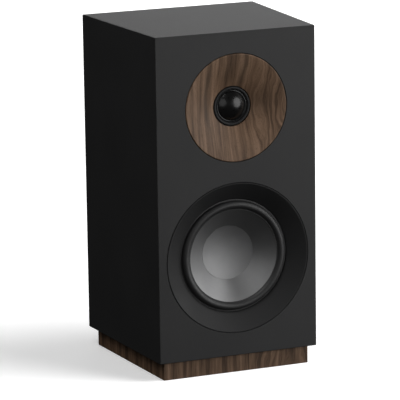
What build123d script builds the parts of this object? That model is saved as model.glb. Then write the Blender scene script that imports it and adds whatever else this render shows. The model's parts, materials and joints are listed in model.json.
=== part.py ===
from build123d import *
import os
from math import cos, hypot, pi, radians, sin, sqrt, tan

# Two-way ported bookshelf speaker, in millimetres.
# X runs across the front, Y from the front baffle to the back, Z is up. The origin is the centre
# of the plinth's underside, on the surface that the speaker stands on.
# A "depth" is a distance behind the front face of the baffle.

os.makedirs("parts", exist_ok=True)

# ---- cabinet
front_width = 148.0
back_width = 164.5  # the side walls splay out towards the back
cabinet_depth = 149.0
cabinet_height = 284.0
baffle_thickness = 22.0
wall_thickness = 12.0
edge_round = 0.6
plinth_height = 16.5
plinth_inset = 6.0
brace_thickness = 9.0
brace_z = 174.5

# ---- drivers, both on the centre line
woofer_z = 103.0
tweeter_z = 234.5
woofer_trim_radius = 66.0
woofer_trim_peg_circle = 64.9
trim_peg_radius = 1.0
trim_peg_end = 19.0
woofer_seat_depth = 15.0
woofer_flange_radius = 60.0
woofer_screw_circle = 56.8
woofer_hole_radius = 53.2
waveguide_radius = 46.8
waveguide_thickness = 12.0
waveguide_throat_radius = 17.7
waveguide_throat_depth = 9.3
waveguide_screw_circle = 41.5
tweeter_screw_circle = 31.0
tweeter_hole_radius = 36.0
flush_gap = 0.35  # all round a piece that is let into the baffle
voice_gap = 0.35  # air on each side of a voice coil
edge_break = 0.4  # the small chamfer round each recess in the baffle

# ---- back of the cabinet
port_z = 232.0
port_radius = 17.0
port_length = 80.0
port_flare = 12.0
port_flange_radius = 31.0
port_body_radius = 23.2
port_seat = 3.0
cup_z = 95.0
cup_width = 84.0
cup_height = 62.0
cup_depth = 22.0
cup_opening = (65.0, 45.0, 6.0)  # width, height and corner radius of the hole in the back
post_spacing = 34.0
post_radius = 3.0
banana_radius = 2.0
running_gap = 0.05

# ---- fasteners
pilot_radius = 1.35  # hole that a wood screw cuts its thread in
clear_radius = 1.7  # hole that a small screw passes through
small_screw_radius = 1.3
small_head_radius = 3.0
small_head_height = 2.0
grille_magnet_radius = 5.0

# ---- crossover
board_size = (100.0, 84.0, 1.6)
board_y = 2.0
spacer_height = 5.0
wire_radius = 0.9

front_y = -cabinet_depth / 2
back_y = cabinet_depth / 2
cabinet_bottom = plinth_height
cabinet_top = plinth_height + cabinet_height
inner_floor = cabinet_bottom + wall_thickness
inner_ceiling = cabinet_top - wall_thickness
splay = (back_width - front_width) / 2 / cabinet_depth
board_top = inner_floor + spacer_height + board_size[2]


# ---------------------------------------------------------------- shared shapes


def half_width(y, inset=0.0):
    """Half the cabinet's width at y, less an inset measured square to the side wall."""
    return front_width / 2 + splay * (y - front_y) - inset * hypot(1, splay)


def between(near, far):
    """Solid between two matching outlines of four corners each."""
    sides = [[near[i], near[(i + 1) % 4], far[(i + 1) % 4], far[i]] for i in range(4)]
    return Solid(Shell([Face(Wire.make_polygon(loop)) for loop in (near, far, *sides)]))


def splayed_block(inset, y0, y1, z0, z1):
    """Block from y0 to y1 whose sides run parallel to the splayed side walls."""
    loops = []
    for y in (y0, y1):
        w = half_width(y, inset)
        loops.append([Vector(-w, y, z0), Vector(w, y, z0), Vector(w, y, z1), Vector(-w, y, z1)])
    return between(*loops)


def rod(radius, start, end, x=0.0, z=0.0):
    """Round bar along Y between two depths."""
    middle = front_y + (start + end) / 2
    return Pos(x, middle, z) * Rot(90, 0, 0) * Cylinder(radius, end - start)


def ring(inner, outer, start, end, x=0.0, z=0.0):
    """Plain ring about a line along Y."""
    return rod(outer, start, end, x, z) - rod(inner, start - 1, end + 1, x, z)


def plate(width, height, corner, start, end, x=0.0, z=0.0):
    """Round-cornered plate facing Y, between two depths."""
    sketch = RectangleRounded(width, height, corner)
    back_plane = Plane((x, front_y + end, z), x_dir=(1, 0, 0), z_dir=(0, -1, 0))
    return extrude(back_plane * sketch, end - start)


def turned(outline, x=0.0, z=0.0):
    """Solid turned about a line along Y; the outline is drawn as (radius, depth)."""
    return Pos(x, front_y, z) * revolve(make_face(outline.edges()), Axis.Y)


def dish(radius, rim, middle, skin, z):
    """Thin spherical cap facing the front; it is a dome where its middle is nearer than its rim."""
    rise = abs(rim - middle)
    sphere = (radius**2 + rise**2) / (2 * rise)
    fall = sphere - sqrt(sphere**2 - radius**2 / 4)
    half = (radius / 2, middle + (fall if middle < rim else -fall))
    section = (
        ThreePointArc((0, middle), half, (radius, rim))
        + Line((radius, rim), (radius, rim + skin))
        + ThreePointArc((radius, rim + skin), (half[0], half[1] + skin), (0, middle + skin))
        + Line((0, middle + skin), (0, middle))
    )
    return turned(section, 0, z)


def around(count, radius, first_angle=0.0):
    """Pairs (x, z) evenly spaced on a circle."""
    angles = [radians(first_angle + 360 / count * i) for i in range(count)]
    return [(radius * cos(a), radius * sin(a)) for a in angles]


# Where fasteners go. The last four groups and the pegs are measured from their own piece's centre.
magnet_places = [(x, z) for x in (-52, 52) for z in (42, 279)]
plinth_screw_places = [(x, y) for x in (-48, 48) for y in (-50, 50)]
board_screw_places = [(x, y) for x in (-45, 45) for y in (-35, 39)]
trim_pegs = around(3, woofer_trim_peg_circle, 30)
woofer_screws_xz = around(4, woofer_screw_circle, 45)
waveguide_screws_xz = around(3, waveguide_screw_circle, 30)
tweeter_screws_xz = around(3, tweeter_screw_circle, 90)
cup_screws_xz = [(x, z) for x in (-37, 37) for z in (-26, 26)]
post_places = {"positive": post_spacing / 2, "negative": -post_spacing / 2}


def screw(shank_radius, length, head_radius, head_height, countersunk=False):
    """Cross-head screw along Z, its head above Z = 0 (or flush with it) and its shank below."""
    if countersunk:
        head = Pos(0, 0, -head_height / 2) * Cone(shank_radius, head_radius, head_height)
    else:
        head = Pos(0, 0, head_height / 2) * Cylinder(head_radius, head_height)
        head = fillet(head.edges().sort_by(Axis.Z)[-1], head_height * 0.45)
    top = 0.0 if countersunk else head_height
    shank = Pos(0, 0, -length / 2) * Cylinder(shank_radius, length)
    tip = Pos(0, 0, -length - shank_radius / 2) * Cone(0.2, shank_radius, shank_radius)
    recess = Box(head_radius * 1.1, head_radius * 0.28, head_height)
    recess += Box(head_radius * 0.28, head_radius * 1.1, head_height)
    return head + shank + tip - Pos(0, 0, top) * recess


def bend_radii(corners):
    """The largest tangent arc that each corner's two runs allow, with a tenth to spare."""
    radii = []
    for before, here, after in zip(corners, corners[1:], corners[2:]):
        arriving, leaving = here - before, after - here
        turn = arriving.get_angle(leaving)
        radii.append(0.45 * min(arriving.length, leaving.length) / tan(radians(turn) / 2))
    return radii


def small_screw(length):
    """The round-headed screw that holds the woofer, the waveguide and the terminal cup."""
    return screw(small_screw_radius, length, small_head_radius, small_head_height)


def wire(points, radius=wire_radius):
    """Insulated wire along a route of straight runs and tangent arcs."""
    corners = [Vector(*point) for point in points]
    path = FilletPolyline(*corners, radius=bend_radii(corners))
    start = Plane(path @ 0, z_dir=path % 0)
    return sweep(start * Circle(radius), path=path)


# ---------------------------------------------------------------- cabinet


def cabinet_corners(side, front, back, bottom, top):
    """The cabinet's eight corners with each wall moved in; keys are (right, rear, upper)."""
    corners = {}
    for rear, y in ((0, front_y + front), (1, back_y - back)):
        for right, sign in ((0, -1), (1, 1)):
            for upper, z in ((0, cabinet_bottom + bottom), (1, cabinet_top - top)):
                corners[right, rear, upper] = Vector(sign * half_width(y, side), y, z)
    return corners


def cabinet_panels():
    """Six panels with mitred edges, so that the vinyl wrap shows no joint on any face."""
    t = wall_thickness
    outside = cabinet_corners(0, 0, 0, 0, 0)
    inside = cabinet_corners(t, baffle_thickness, t, t, t)
    square = ((0, 0), (1, 0), (1, 1), (0, 1))
    loops = {
        "front_baffle": [(a, 0, b) for a, b in square],
        "back_panel": [(a, 1, b) for a, b in square],
        "left_side_panel": [(0, a, b) for a, b in square],
        "right_side_panel": [(1, a, b) for a, b in square],
        "bottom_panel": [(a, b, 0) for a, b in square],
        "top_panel": [(a, b, 1) for a, b in square],
    }
    near = [outside[key] for key in loops["front_baffle"]]
    far = [outside[key] for key in loops["back_panel"]]
    rounded = fillet(between(near, far).edges(), edge_round)
    return {
        name: between([outside[k] for k in loop], [inside[k] for k in loop]) & rounded
        for name, loop in loops.items()
    }


def cabinet():
    """The closed box with its brace, plinth, magnets and lining."""
    pieces = cabinet_panels()
    baffle = pieces["front_baffle"]
    through = baffle_thickness + 1
    for piece_radius, seat, hole, z in (
        (woofer_trim_radius, woofer_seat_depth, woofer_hole_radius, woofer_z),
        (waveguide_radius, waveguide_thickness, tweeter_hole_radius, tweeter_z),
    ):
        recess = piece_radius + flush_gap
        baffle -= rod(recess, -1, seat, 0, z)
        baffle -= rod(hole, 0, through, 0, z)
        reach = 1 + edge_break
        bevel = Polyline((recess - 1, -1), (recess + reach, -1), (recess - 1, reach), close=True)
        baffle -= turned(bevel, 0, z)
    for x, z in woofer_screws_xz:
        baffle -= rod(pilot_radius, woofer_seat_depth - 1, baffle_thickness - 1, x, woofer_z + z)
    peg_hole = trim_peg_radius + running_gap
    for x, z in trim_pegs:
        baffle -= rod(peg_hole, woofer_seat_depth - 1, trim_peg_end + 1, x, woofer_z + z)
    for x, z in waveguide_screws_xz:
        baffle -= rod(clear_radius, waveguide_thickness - 1, through, x, tweeter_z + z)
    for x, z in magnet_places:
        baffle -= rod(grille_magnet_radius + 0.1, 2.5, through, x, z)
    pieces["front_baffle"] = baffle

    back = pieces["back_panel"]
    inside, outside = cabinet_depth - wall_thickness - 1, cabinet_depth + 1
    back -= rod(port_flange_radius + flush_gap, cabinet_depth - port_seat, outside, 0, port_z)
    back -= rod(port_body_radius + flush_gap, inside, outside, 0, port_z)
    back -= plate(*cup_opening, inside, outside, 0, cup_z)
    for x, z in cup_screws_xz:
        back -= rod(pilot_radius, cabinet_depth - 9, outside, x, cup_z + z)
    pieces["back_panel"] = back

    bottom = pieces["bottom_panel"]
    for x, y in plinth_screw_places:
        bottom -= Pos(x, y, cabinet_bottom + 5) * Cylinder(2.0, 10)
    for x, y in board_screw_places:
        bottom -= Pos(x, y, inner_floor - 4) * Cylinder(1.55, 8)
    pieces["bottom_panel"] = bottom

    brace = splayed_block(
        wall_thickness,
        front_y + baffle_thickness,
        back_y - wall_thickness,
        brace_z - brace_thickness / 2,
        brace_z + brace_thickness / 2,
    )
    window = extrude(Pos(0, 5, brace_z) * RectangleRounded(92, 74, 12), brace_thickness, both=True)
    pieces["window_brace"] = brace - window

    plinth = splayed_block(
        plinth_inset, front_y + plinth_inset, back_y - plinth_inset, 0, plinth_height
    )
    plinth = fillet(plinth.edges().filter_by(GeomType.LINE), 0.5)
    screws = []
    for x, y in plinth_screw_places:
        plinth -= Pos(x, y, plinth_height / 2) * Cylinder(2.25, plinth_height + 1)
        plinth -= Pos(x, y, 1.5) * Rot(180, 0, 0) * Cone(2.25, 4.6, 3.0)
        screws.append(Pos(x, y, 0.2) * Rot(180, 0, 0) * screw(1.95, 23, 4.1, 2.4, True))
    pieces["plinth"] = plinth
    pieces["plinth_screws"] = Compound(screws)

    pieces["grille_magnets"] = Compound([
        rod(grille_magnet_radius, 2.6, 5.6, x, z) for x, z in magnet_places
    ])
    pieces["acoustic_wadding"] = wadding()
    return pieces


def wadding():
    """Three pads that line the side walls beside the woofer, and the ceiling."""
    pad_thickness = 12.0
    low, high = 58.0, 160.0
    pads = []
    for sign in (-1, 1):
        loops = []
        for y in (-38, 54):
            outer = half_width(y, wall_thickness + 0.5) * sign
            inner = outer - sign * pad_thickness
            loops.append([Vector(x, y, z) for x, z in
                          ((outer, low), (inner, low), (inner, high), (outer, high))])
        pads.append(between(*loops))
    top_thickness = 16.0
    pads.append(Pos(0, 3, inner_ceiling - 0.5 - top_thickness / 2) * Box(110, 104, top_thickness))
    return Compound(pads)


# ---------------------------------------------------------------- woofer


def woofer():
    """Moving-coil woofer, from its trim ring back to the magnet."""
    z = woofer_z
    pieces = {}

    funnel = FilletPolyline(
        (woofer_trim_radius, 0.0), (65.1, 0.0), (50.3, 9.4), (49.4, 10.9), (51.6, 10.9),
        (64.2, 2.8), (64.2, 14.9), (woofer_trim_radius, 14.9),
        radius=[0.35, 1.8, 0.9, 0.0, 0.0, 0.8, 0.0, 0.0], close=True,
    )
    trim = turned(funnel, 0, z)
    for x, dz in trim_pegs:
        trim += rod(trim_peg_radius, 14.0, trim_peg_end, x, z + dz)
    pieces["woofer_trim_ring"] = trim

    flange_front = 11.6
    flange_back = 14.0
    pieces["woofer_gasket"] = ring(54.0, woofer_flange_radius, flange_back, woofer_seat_depth, 0, z)
    for x, dz in woofer_screws_xz:
        pieces["woofer_gasket"] -= rod(1.6, flange_back - 1, woofer_seat_depth + 1, x, z + dz)
    pieces["woofer_basket"] = basket(flange_front, flange_back)
    pieces["woofer_screws"] = Compound([
        Pos(x, front_y + flange_front, z + dz) * Rot(90, 0, 0) * small_screw(8)
        for x, dz in woofer_screws_xz
    ])

    roll = (
        Line((53.0, 11.0), (48.6, 11.0))
        + ThreePointArc((48.6, 11.0), (44.95, 6.95), (41.7, 9.2))
        + Polyline((41.7, 9.2), (41.0, 9.2), (41.0, 9.8), (42.1, 9.8))
        + ThreePointArc((42.1, 9.8), (44.95, 7.55), (48.1, 11.6))
        + Polyline((48.1, 11.6), (53.0, 11.6), (53.0, 11.0))
    )
    pieces["woofer_surround"] = turned(roll, 0, z)

    cone = (
        Line((42.4, 9.85), (41.0, 9.85))
        + ThreePointArc((41.0, 9.85), (23.9, 22.8), (12.95, 32.8))
        + Line((12.95, 32.8), (12.95, 33.5))
        + ThreePointArc((12.95, 33.5), (23.7, 23.6), (40.7, 10.55))
        + Polyline((40.7, 10.55), (42.4, 10.55), (42.4, 9.85))
    )
    pieces["woofer_cone"] = turned(cone, 0, z)

    pieces["woofer_dust_cap"] = dish(23.7, 22.3, 27.2, 0.4, z)

    pieces["woofer_coil_former"] = ring(12.65, 12.9, 31.8, 57.0, 0, z)
    pieces["woofer_voice_coil"] = ring(12.9, 13.6, 42.0, 55.0, 0, z)
    pieces["woofer_spider"] = spider()

    plate_front, plate_back, magnet_back, yoke_back = 46.0, 51.0, 66.0, 71.0
    pieces["woofer_top_plate"] = ring(13.6 + voice_gap, 37.0, plate_front, plate_back, 0, z)
    pieces["woofer_magnet"] = ring(19.0, 41.0, plate_back, magnet_back, 0, z)
    yoke = rod(36.0, magnet_back, yoke_back, 0, z)
    yoke += rod(12.65 - voice_gap, plate_front, magnet_back, 0, z)
    pieces["woofer_yoke"] = yoke - rod(4.0, plate_front - 1, yoke_back + 1, 0, z)

    pieces["woofer_terminal_strip"] = woofer_strip()
    leads = []
    for side in (-1, 1):
        dz = 5.0 * side
        route = [
            (-43.0, front_y + 41.4, z + dz),
            (-43.0, front_y + 34.0, z + dz),
            (-38.5, front_y + 28.5, z + dz),
            (-33.0, front_y + 28.0, z + dz * 0.8),
            (-28.5, front_y + 23.0, z + dz * 0.7),
        ]
        leads.append(wire(route, 0.4))
    pieces["woofer_tinsel_leads"] = Compound(leads)
    return pieces


def basket(flange_front, flange_back):
    """Pressed frame: a flange, a ring of six windows, a ledge for the spider and a seat for the motor."""
    z = woofer_z
    section = Polyline(
        (woofer_flange_radius, flange_front), (53.2, flange_front), (53.2, 11.7), (47.4, 11.7),
        (47.4, 13.2), (50.2, 13.2), (38.6, 41.0), (38.6, 44.0), (20.0, 44.0), (20.0, 46.0),
        (40.2, 46.0), (40.2, 41.0), (51.4, flange_back), (woofer_flange_radius, flange_back),
        close=True,
    )
    frame = turned(section, 0, z)
    frame += ring(33.0, 39.2, 38.8, 40.2, 0, z)
    windows = 6
    opening = Pos(60, front_y + 26.5, 0) * Box(60, 17, 32)
    for i in range(windows):
        frame -= Pos(0, 0, z) * Rot(0, 360 / windows * i, 0) * opening
    for x, dz in woofer_screws_xz:
        frame -= rod(1.6, flange_front - 1, flange_back + 1, x, z + dz)
    return frame


def spider():
    """Corrugated cloth disc that centres the coil."""
    inner, outer, middle, swing, thickness = 14.6, 32.4, 38.2, 1.0, 0.4
    waves = 8
    step = (outer - inner) / waves
    crests = [
        (inner + step * i, middle + (swing if i % 2 else -swing)) for i in range(waves + 1)
    ]
    front = [(13.0, middle), *crests, (33.2, middle + 0.15), (35.8, middle + 0.15)]
    back = [(r, d + thickness) for r, d in reversed(front)]
    return turned(Polyline(*front, *back, close=True), 0, woofer_z)


def woofer_strip():
    """Insulating strip on the basket's neck with two solder tabs that hang down."""
    z = woofer_z
    board = Pos(-42.8, front_y + 46.0, z) * Box(1.6, 9.0, 18.0)
    foot = Pos(-41.2, front_y + 44.0, z) * Box(1.6, 3.0, 6.0)
    tabs = [Pos(-42.8, front_y + d, z - 13.0) * Box(0.8, 3.0, 8.0) for d in (43.5, 48.5)]
    return Compound([board + foot, *tabs])


# ---------------------------------------------------------------- tweeter


def tweeter():
    """Dome tweeter behind a walnut waveguide disc."""
    z = tweeter_z
    pieces = {}
    rim, throat = waveguide_radius, waveguide_throat_radius
    back = waveguide_thickness
    front_line = ThreePointArc((rim - 0.5, 0.0), (31.5, 3.9), (throat, waveguide_throat_depth))
    section = (
        front_line
        + Polyline((throat, waveguide_throat_depth), (throat, back), (rim, back), (rim, 0.5))
        + Line((rim, 0.5), (rim - 0.5, 0.0))
    )
    disc = turned(section, 0, z)
    for x, dz in waveguide_screws_xz:
        disc -= rod(pilot_radius, 6.0, back + 1, x, z + dz)
    for x, dz in tweeter_screws_xz:
        disc -= rod(1.1, 7.4, back + 1, x, z + dz)
    pieces["tweeter_waveguide"] = disc
    pieces["waveguide_screws"] = Compound([
        Pos(x, front_y + baffle_thickness, z + dz) * Rot(-90, 0, 0) * small_screw(14.5)
        for x, dz in waveguide_screws_xz
    ])

    plate_back = 15.0
    collar = FilletPolyline(
        (16.9, 9.2), (14.7, 9.2), (14.7, 11.1), (13.4, 11.1),
        (13.4, plate_back), (34.0, plate_back), (34.0, back), (16.9, back),
        radius=[0.9, 0.9, 0, 0, 0, 0, 0, 0], close=True,
    )
    faceplate = turned(collar, 0, z)
    for x, dz in tweeter_screws_xz:
        faceplate -= rod(1.3, back - 1, plate_back + 1, x, z + dz)
    pieces["tweeter_faceplate"] = faceplate
    pieces["tweeter_screws"] = Compound([
        Pos(x, front_y + plate_back, z + dz) * Rot(-90, 0, 0) * screw(1.05, 6.3, 2.4, 1.6)
        for x, dz in tweeter_screws_xz
    ])

    dome_foot, dome_tip, skin = 10.6, 6.0, 0.3
    pieces["tweeter_dome"] = dish(12.5, dome_foot, dome_tip, skin, z)
    roll = (
        Line((14.6, 10.75), (13.9, 10.75))
        + ThreePointArc((13.9, 10.75), (13.25, 10.4), (12.6, 10.7))
        + Line((12.6, 10.7), (12.6, 10.95))
        + ThreePointArc((12.6, 10.95), (13.25, 10.65), (13.9, 11.0))
        + Polyline((13.9, 11.0), (14.6, 11.0), (14.6, 10.75))
    )
    pieces["tweeter_surround"] = turned(roll, 0, z)

    former = ring(12.3, 12.45, dome_foot + skin, 18.6, 0, z)
    pieces["tweeter_voice_coil"] = former + ring(12.4, 12.75, 15.0, 18.2, 0, z)
    motor_front, magnet_front, magnet_back, yoke_back = 15.2, 18.2, 27.2, 30.7
    pieces["tweeter_top_plate"] = ring(12.75 + voice_gap, 24.0, motor_front, magnet_front, 0, z)
    pieces["tweeter_magnet"] = ring(17.0, 27.0, magnet_front, magnet_back, 0, z)
    yoke = rod(24.0, magnet_back, yoke_back, 0, z)
    yoke += rod(12.3 - voice_gap, motor_front, magnet_back, 0, z)
    pieces["tweeter_yoke"] = yoke - rod(3.0, motor_front - 1, yoke_back + 1, 0, z)

    block = Pos(0, front_y + 19.0, z - 30.5) * Box(20.0, 8.0, 4.5)
    tabs = [Pos(x, front_y + 26.5, z - 30.5) * Box(4.8, 7.0, 0.8) for x in (-4.5, 4.5)]
    pieces["tweeter_terminal_strip"] = Compound([block, *tabs])
    return pieces


# ---------------------------------------------------------------- port and terminals


def port():
    """Reflex port: a flared mouth let into the back panel and a straight tube."""
    face = cabinet_depth
    inner_end = face - port_length
    mouth = port_radius + port_flare
    diagonal = port_flare * sin(pi / 4)
    lip = 1.2
    outer = port_radius + 2 * lip
    flange_back = face - port_seat + 0.1
    section = (
        ThreePointArc(
            (mouth, face),
            (mouth - diagonal, face - port_flare + diagonal),
            (port_radius, face - port_flare),
        )
        + Line((port_radius, face - port_flare), (port_radius, inner_end + lip))
        + ThreePointArc(
            (port_radius, inner_end + lip), (port_radius + lip, inner_end), (outer, inner_end + lip)
        )
        + Polyline(
            (outer, inner_end + lip), (outer, face - 17), (port_body_radius, face - 13.2),
            (port_body_radius, flange_back), (port_flange_radius, flange_back),
            (port_flange_radius, face - edge_break), (port_flange_radius - edge_break, face), (mouth, face),
        )
    )
    return {"port_tube": turned(section, 0, port_z)}


def terminals():
    """Recessed cup with two binding posts whose knobs screw out along Y."""
    face = cabinet_depth
    gasket_face = face + 1.0
    flange_face = gasket_face + 3.0
    floor_back = flange_face - cup_depth
    floor_face = floor_back + 3.0
    pieces = {}

    gasket = plate(cup_width, cup_height, 6, face, gasket_face, 0, cup_z)
    gasket -= plate(*cup_opening, face - 1, gasket_face + 1, 0, cup_z)
    cup = plate(cup_width, cup_height, 6, gasket_face, flange_face, 0, cup_z)
    cup = fillet(cup.edges().group_by(Axis.Y)[-1], 1.2)
    cup += plate(64, 44, 5.5, floor_back, gasket_face + 1, 0, cup_z)
    cup -= plate(59, 39, 4, floor_face, flange_face + 1, 0, cup_z)
    screws = []
    head_seat = flange_face - 1.6
    for x, dz in cup_screws_xz:
        gasket -= rod(clear_radius, face - 1, gasket_face + 1, x, cup_z + dz)
        cup -= rod(clear_radius, face, flange_face + 1, x, cup_z + dz)
        cup -= rod(small_head_radius + 0.3, head_seat, flange_face + 1, x, cup_z + dz)
        place = Pos(x, front_y + head_seat, cup_z + dz)
        screws.append(place * Rot(-90, 0, 0) * small_screw(8.5))
    for x in post_places.values():
        cup -= rod(post_radius + 0.1, floor_back - 1, floor_face + 1, x, cup_z)
    pieces["terminal_gasket"] = gasket
    pieces["terminal_cup"] = cup
    pieces["terminal_screws"] = Compound(screws)

    nuts = []
    collar_face = floor_face + 4.0
    shoulder_face = collar_face + 2.0
    stud_end = flange_face + 2.0
    tag_front = floor_back - 0.8
    for polarity, x in post_places.items():
        collar = ring(post_radius + 0.1, 7.2, floor_face, collar_face, x, cup_z)
        collar = fillet(collar.edges().group_by(Axis.Y)[-1].sort_by(SortBy.RADIUS)[-1], 0.5)
        pieces[f"{polarity}_post_collar"] = collar

        stud = rod(post_radius, floor_back - 9, stud_end, x, cup_z)
        stud = chamfer(stud.edges().group_by(Axis.Y)[-1], 0.35)
        stud += rod(5.6, collar_face, shoulder_face, x, cup_z)
        stud -= rod(banana_radius, shoulder_face, stud_end + 1, x, cup_z)
        cross_hole = Pos(x, front_y + shoulder_face + 1.8, cup_z) * Cylinder(1.3, 12)
        pieces[f"{polarity}_post_stud"] = stud - cross_hole

        washer_face = shoulder_face + 1.1
        washer = ring(post_radius + running_gap, 5.4, shoulder_face + 0.05, washer_face, x, cup_z)
        pieces[f"{polarity}_clamp_washer"] = washer
        pieces[f"{polarity}_post_knob"] = knob(washer_face + 0.05, stud_end + 2.0, x)

        tag = ring(post_radius + 0.05, 5.6, tag_front, floor_back, x, cup_z)
        tag += Pos(x, front_y + tag_front + 0.4, cup_z - 9.5) * Box(4.0, 0.8, 9.0)
        hexagon = Plane((x, front_y + tag_front, cup_z), z_dir=(0, -1, 0)) * RegularPolygon(5.6, 6)
        nut = extrude(hexagon, 4.0) - rod(post_radius + 0.02, 110, 150, x, cup_z)
        nuts.extend([nut, tag])
    pieces["post_nuts_and_tags"] = Compound(nuts)
    return pieces


def knob(start, end, x):
    """Fluted plastic knob with a plain collar at its front and a hole through for the stud."""
    radius = 7.4
    body = rod(radius, start, end, x, cup_z)
    body = fillet(body.edges().group_by(Axis.Y)[-1], 0.8)
    body = chamfer(body.edges().group_by(Axis.Y)[0], 0.5)
    flutes = 16
    for dx, dz in around(flutes, radius + 0.45):
        body -= rod(1.0, start + 3.0, end + 1, x + dx, cup_z + dz)
    return body - rod(post_radius + running_gap, start - 1, end + 1, x, cup_z)


# ---------------------------------------------------------------- crossover and wiring


def crossover():
    """Printed board on spacers, with the filter parts soldered to it."""
    top = board_top
    width, length, thickness = board_size
    board = Pos(0, board_y, top - thickness / 2) * Box(width, length, thickness)
    screws = []
    for x, y in board_screw_places:
        board -= Pos(x, y, top) * Cylinder(1.7, 10)
        spacer = Pos(x, y, inner_floor + spacer_height / 2) * Cylinder(3.2, spacer_height)
        screws.append(spacer - Pos(x, y, inner_floor) * Cylinder(1.65, 20))
        screws.append(Pos(x, y, top) * screw(1.5, 12.5, 2.8, 1.8))

    coils = []
    for x, y, outer, inner, height in ((-20, 8, 14, 7, 15), (19, -21, 10.5, 4.5, 11)):
        winding = Pos(x, y, top + 1 + height / 2) * (Cylinder(outer, height) - Cylinder(inner, height))
        rims = winding.edges().filter_by(GeomType.CIRCLE).sort_by(SortBy.RADIUS)[-2:]
        core = Cylinder(inner - 0.1, height + 2) - Cylinder(inner - 1.5, height + 2)
        bobbin = Pos(x, y, top + 1 + height / 2) * core
        for z in (top + 0.5, top + height + 1.5):
            bobbin += Pos(x, y, z) * (Cylinder(outer + 0.5, 1) - Cylinder(inner - 1.5, 1))
        coils.extend([fillet(rims, 1.2), bobbin])

    cans = []
    lead_radius, lead_reach = 0.4, 2.5
    for x, y, radius, length in ((-19, -28, 6, 30), (-32, 30, 5, 24), (12, 26, 5, 26)):
        z = top + radius + 0.3
        can = Pos(x, y, z) * Rot(0, 90, 0) * Cylinder(radius, length)
        cans.append(fillet(can.edges(), 1.0))
        for sign in (-1, 1):
            end = x + sign * length / 2
            bend = end + sign * lead_reach
            cans.append(wire([(end, y, z), (bend, y, z), (bend, y, top)], lead_radius))

    resistors = []
    for x, y in ((22, 4), (-38, -12)):
        block = Pos(x, y, top + 5) * Box(22, 9.5, 9)
        resistors.append(fillet(block.edges().filter_by(Axis.X), 0.8))
    return {
        "crossover_board": board,
        "crossover_screws": Compound(screws),
        "crossover_inductors": Compound(coils),
        "crossover_capacitors": Compound(cans),
        "crossover_resistors": Compound(resistors),
    }


def wiring():
    """Three pairs of wires: from the posts to the board, and from the board to each driver."""
    top = board_top
    tag_y = back_y + 4.0 - cup_depth - 1.0
    tag_tip = cup_z - 14.0
    inputs = []
    for x in post_places.values():
        inputs.append(wire([(x, tag_y, tag_tip), (x, tag_y, 62), (x, 40, 50), (x, 40, top)]))

    to_woofer = []
    for pad_y, tab_depth in ((-28.0, 43.5), (-22.0, 48.5)):
        tab_y = front_y + tab_depth
        to_woofer.append(wire([
            (-46.5, pad_y, top), (-46.5, pad_y, 50), (-42.8, tab_y, 68), (-42.8, tab_y, woofer_z - 17)
        ]))

    tab_z = tweeter_z - 30.5
    tab_end = front_y + 30.0
    first = [(42, 10, top), (42, 10, 52), (41, 11, 84), (42.5, 9, 118), (40, 11, 160), (31, 6, 188),
             (15, -9, 202), (4.5, -28, tab_z), (4.5, tab_end, tab_z)]
    second = [(37.5, 13, top), (37.5, 13, 52), (36.5, 14, 84), (38, 12, 118), (35.5, 14, 158), (25, 9, 184),
              (5, -6, 198), (-4.5, -27, tab_z), (-4.5, tab_end, tab_z)]
    return {
        "input_wires": Compound(inputs),
        "woofer_wires": Compound(to_woofer),
        "tweeter_wires": Compound([wire(first), wire(second)]),
    }


speaker = {}
for section in (cabinet, woofer, tweeter, port, terminals, crossover, wiring):
    speaker.update(section())

for name, shape in speaker.items():
    export_step(shape, f"parts/{name}.step")
print(len(speaker), "sub-parts written")
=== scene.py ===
import json
import math

import bpy
from mathutils import Matrix, Vector, noise
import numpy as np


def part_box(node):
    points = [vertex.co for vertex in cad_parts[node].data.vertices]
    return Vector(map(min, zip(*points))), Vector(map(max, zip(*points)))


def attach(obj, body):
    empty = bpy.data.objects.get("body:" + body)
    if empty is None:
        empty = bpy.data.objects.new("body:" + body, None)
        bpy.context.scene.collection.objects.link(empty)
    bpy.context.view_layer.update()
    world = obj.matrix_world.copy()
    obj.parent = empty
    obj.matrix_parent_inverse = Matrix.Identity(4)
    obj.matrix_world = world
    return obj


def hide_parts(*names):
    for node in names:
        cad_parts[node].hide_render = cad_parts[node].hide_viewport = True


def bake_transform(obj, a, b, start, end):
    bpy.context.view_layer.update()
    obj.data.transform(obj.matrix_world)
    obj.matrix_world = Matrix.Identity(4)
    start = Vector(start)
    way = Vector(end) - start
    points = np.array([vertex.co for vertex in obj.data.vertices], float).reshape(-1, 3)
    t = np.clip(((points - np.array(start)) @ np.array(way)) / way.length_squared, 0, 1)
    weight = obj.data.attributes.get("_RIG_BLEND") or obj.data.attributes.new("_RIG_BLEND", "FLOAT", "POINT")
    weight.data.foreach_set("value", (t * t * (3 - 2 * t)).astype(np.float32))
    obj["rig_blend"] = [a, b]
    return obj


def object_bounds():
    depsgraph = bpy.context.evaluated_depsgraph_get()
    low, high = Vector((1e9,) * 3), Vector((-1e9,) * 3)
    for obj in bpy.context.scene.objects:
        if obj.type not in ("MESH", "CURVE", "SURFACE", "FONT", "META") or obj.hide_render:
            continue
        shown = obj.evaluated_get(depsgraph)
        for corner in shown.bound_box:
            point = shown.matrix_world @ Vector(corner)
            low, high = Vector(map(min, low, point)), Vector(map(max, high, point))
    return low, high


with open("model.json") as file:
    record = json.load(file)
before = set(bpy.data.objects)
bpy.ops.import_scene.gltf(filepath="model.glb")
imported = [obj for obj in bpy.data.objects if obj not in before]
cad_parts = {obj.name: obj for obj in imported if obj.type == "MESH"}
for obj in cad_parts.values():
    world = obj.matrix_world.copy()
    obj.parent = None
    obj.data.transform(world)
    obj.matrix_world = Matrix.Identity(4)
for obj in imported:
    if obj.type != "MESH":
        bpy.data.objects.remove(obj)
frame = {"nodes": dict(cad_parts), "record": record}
cad_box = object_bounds()
nodes = frame["nodes"]

MM = 0.001


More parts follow.
